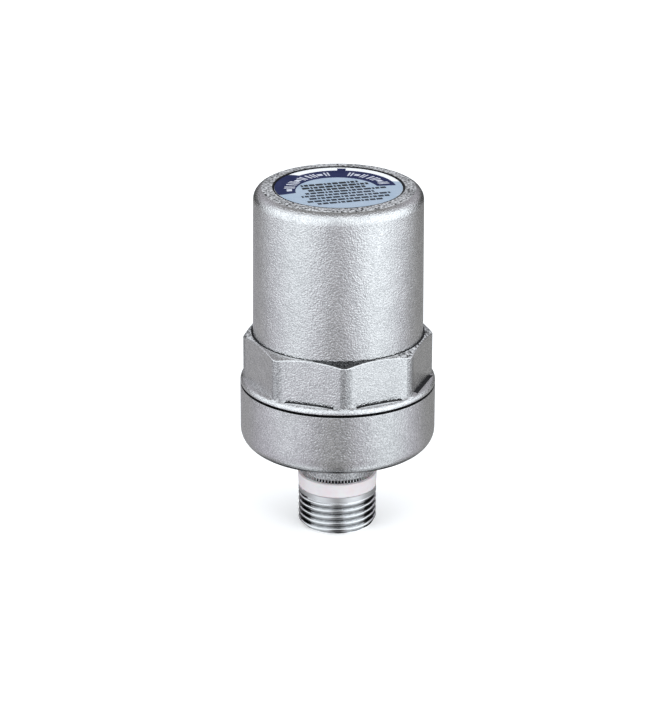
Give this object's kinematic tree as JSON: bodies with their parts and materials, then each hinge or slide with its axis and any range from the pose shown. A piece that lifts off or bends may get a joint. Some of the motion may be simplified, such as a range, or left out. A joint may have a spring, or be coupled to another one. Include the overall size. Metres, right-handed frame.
{
  "type": "water hammer arrestor",
  "caption": "Chromed water hammer arrestor: a bell with an octagonal wrench section on a cup with a male pipe thread and white seal, holding a sprung piston over trapped air.",
  "frame": {"origin": "centre of the inlet thread's end face, at the bottom of the part", "axes": "+Z along the common axis from the inlet to the bell's roof; -Y towards the viewer of the picture"},
  "size_m": [0.052, 0.052, 0.095],
  "materials": {
    "cup_chrome": "satin",
    "bell_chrome": "satin",
    "label_film": "satin",
    "seal_white": "satin",
    "seal_rubber": "satin",
    "piston_polymer": "satin",
    "spring_steel": "polished"
  },
  "bodies": {
    "housing": {"lower_body": "cup_chrome", "upper_cover": "bell_chrome", "top_label": "label_film", "thread_seal_ring": "seal_white", "cover_o_ring": "seal_rubber", "main_spring": "spring_steel"},
    "piston": {"piston": "piston_polymer", "piston_o_ring_lower": "seal_rubber", "piston_o_ring_upper": "seal_rubber"}
  },
  "joints": [
    {"name": "piston_slide", "type": "slide", "parent": "housing", "child": "piston", "axis": [0, 0, 1], "range_m": [0, 0.024], "stiffness_N_per_m": 2000, "springref_m": -0.003, "deforming": ["main_spring"]}
  ]
}
